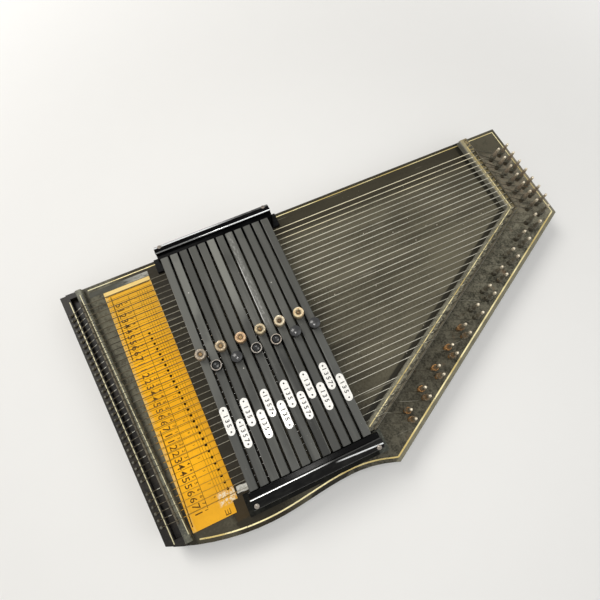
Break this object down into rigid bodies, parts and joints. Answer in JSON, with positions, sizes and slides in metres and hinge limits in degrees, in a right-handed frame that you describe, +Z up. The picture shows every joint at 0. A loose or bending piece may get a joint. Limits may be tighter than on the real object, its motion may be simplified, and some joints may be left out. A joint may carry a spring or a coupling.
{
  "type": "chord zither",
  "caption": "Flat black stringed box with spring-loaded chord bars across its strings; pressing a button damps all strings that are not in that bar's chord.",
  "frame": {"origin": "on the surface the feet stand on, under the middle of the body's length and width", "axes": "+X along the strings from the tail to the tuning pins, +Y towards the long bass side, +Z up out of the soundboard"},
  "size_m": [0.545, 0.292, 0.0763],
  "materials": {
    "black_lacquer": "satin black lacquer, worn",
    "pin_plank": "black stain",
    "brace_wood": "bare",
    "rubber_feet": "matte",
    "string_steel": "aged, lightly tarnished",
    "chart_card": "printed card, satin",
    "bar_paint": "matte grey paint",
    "felt": "felt",
    "pale_button": "polished",
    "dark_button": "polished",
    "holder_gloss": "high gloss",
    "holder_base": "satin"
  },
  "bodies": {
    "zither_body": {"back_board": "black_lacquer", "soundboard": "black_lacquer", "bass_rim": "black_lacquer", "treble_rim": "black_lacquer", "tail_block": "black_lacquer", "tail_rail": "black_lacquer", "pin_rail_short": "black_lacquer", "pin_rail_long": "black_lacquer", "pin_block_short": "pin_plank", "pin_block_long": "pin_plank", "brace_1": "brace_wood", "brace_2": "brace_wood", "foot_1": "rubber_feet", "foot_2": "rubber_feet", "foot_3": "rubber_feet", "foot_4": "rubber_feet", "tail_rod": "string_steel", "bass_strings": "string_steel", "treble_strings": "string_steel", "tuning_chart": "chart_card", "bass_holder_comb": "holder_base", "treble_holder_comb": "holder_base", "bass_holder_cover": "holder_gloss", "treble_holder_cover": "holder_gloss"},
    "bar_01": {"chord_bar_01": "bar_paint", "damper_felt_01": "felt", "button_01": "pale_button"},
    "bar_02": {"chord_bar_02": "bar_paint", "damper_felt_02": "felt", "button_02": "dark_button"},
    "bar_03": {"chord_bar_03": "bar_paint", "damper_felt_03": "felt", "button_03": "pale_button"},
    "bar_04": {"chord_bar_04": "bar_paint", "damper_felt_04": "felt", "button_04": "dark_button"},
    "bar_05": {"chord_bar_05": "bar_paint", "damper_felt_05": "felt", "button_05": "pale_button"},
    "bar_06": {"chord_bar_06": "bar_paint", "damper_felt_06": "felt", "button_06": "dark_button"},
    "bar_07": {"chord_bar_07": "bar_paint", "damper_felt_07": "felt", "button_07": "pale_button"},
    "bar_08": {"chord_bar_08": "bar_paint", "damper_felt_08": "felt", "button_08": "dark_button"},
    "bar_09": {"chord_bar_09": "bar_paint", "damper_felt_09": "felt", "button_09": "pale_button"},
    "bar_10": {"chord_bar_10": "bar_paint", "damper_felt_10": "felt", "button_10": "dark_button"},
    "bar_11": {"chord_bar_11": "bar_paint", "damper_felt_11": "felt", "button_11": "pale_button"},
    "bar_12": {"chord_bar_12": "bar_paint", "damper_felt_12": "felt", "button_12": "dark_button"}
  },
  "joints": [
    {"name": "bar_01_press", "type": "slide", "parent": "zither_body", "child": "bar_01", "axis": [0, 0, -1], "range_m": [0, 0.0033], "stiffness_N_per_m": 500, "springref_m": -0.003},
    {"name": "bar_02_press", "type": "slide", "parent": "zither_body", "child": "bar_02", "axis": [0, 0, -1], "range_m": [0, 0.0033], "stiffness_N_per_m": 500, "springref_m": -0.003},
    {"name": "bar_03_press", "type": "slide", "parent": "zither_body", "child": "bar_03", "axis": [0, 0, -1], "range_m": [0, 0.0033], "stiffness_N_per_m": 500, "springref_m": -0.003},
    {"name": "bar_04_press", "type": "slide", "parent": "zither_body", "child": "bar_04", "axis": [0, 0, -1], "range_m": [0, 0.0033], "stiffness_N_per_m": 500, "springref_m": -0.003},
    {"name": "bar_05_press", "type": "slide", "parent": "zither_body", "child": "bar_05", "axis": [0, 0, -1], "range_m": [0, 0.0033], "stiffness_N_per_m": 500, "springref_m": -0.003},
    {"name": "bar_06_press", "type": "slide", "parent": "zither_body", "child": "bar_06", "axis": [0, 0, -1], "range_m": [0, 0.0033], "stiffness_N_per_m": 500, "springref_m": -0.003},
    {"name": "bar_07_press", "type": "slide", "parent": "zither_body", "child": "bar_07", "axis": [0, 0, -1], "range_m": [0, 0.0033], "stiffness_N_per_m": 500, "springref_m": -0.003},
    {"name": "bar_08_press", "type": "slide", "parent": "zither_body", "child": "bar_08", "axis": [0, 0, -1], "range_m": [0, 0.0033], "stiffness_N_per_m": 500, "springref_m": -0.003},
    {"name": "bar_09_press", "type": "slide", "parent": "zither_body", "child": "bar_09", "axis": [0, 0, -1], "range_m": [0, 0.0033], "stiffness_N_per_m": 500, "springref_m": -0.003},
    {"name": "bar_10_press", "type": "slide", "parent": "zither_body", "child": "bar_10", "axis": [0, 0, -1], "range_m": [0, 0.0033], "stiffness_N_per_m": 500, "springref_m": -0.003},
    {"name": "bar_11_press", "type": "slide", "parent": "zither_body", "child": "bar_11", "axis": [0, 0, -1], "range_m": [0, 0.0033], "stiffness_N_per_m": 500, "springref_m": -0.003},
    {"name": "bar_12_press", "type": "slide", "parent": "zither_body", "child": "bar_12", "axis": [0, 0, -1], "range_m": [0, 0.0033], "stiffness_N_per_m": 500, "springref_m": -0.003}
  ]
}
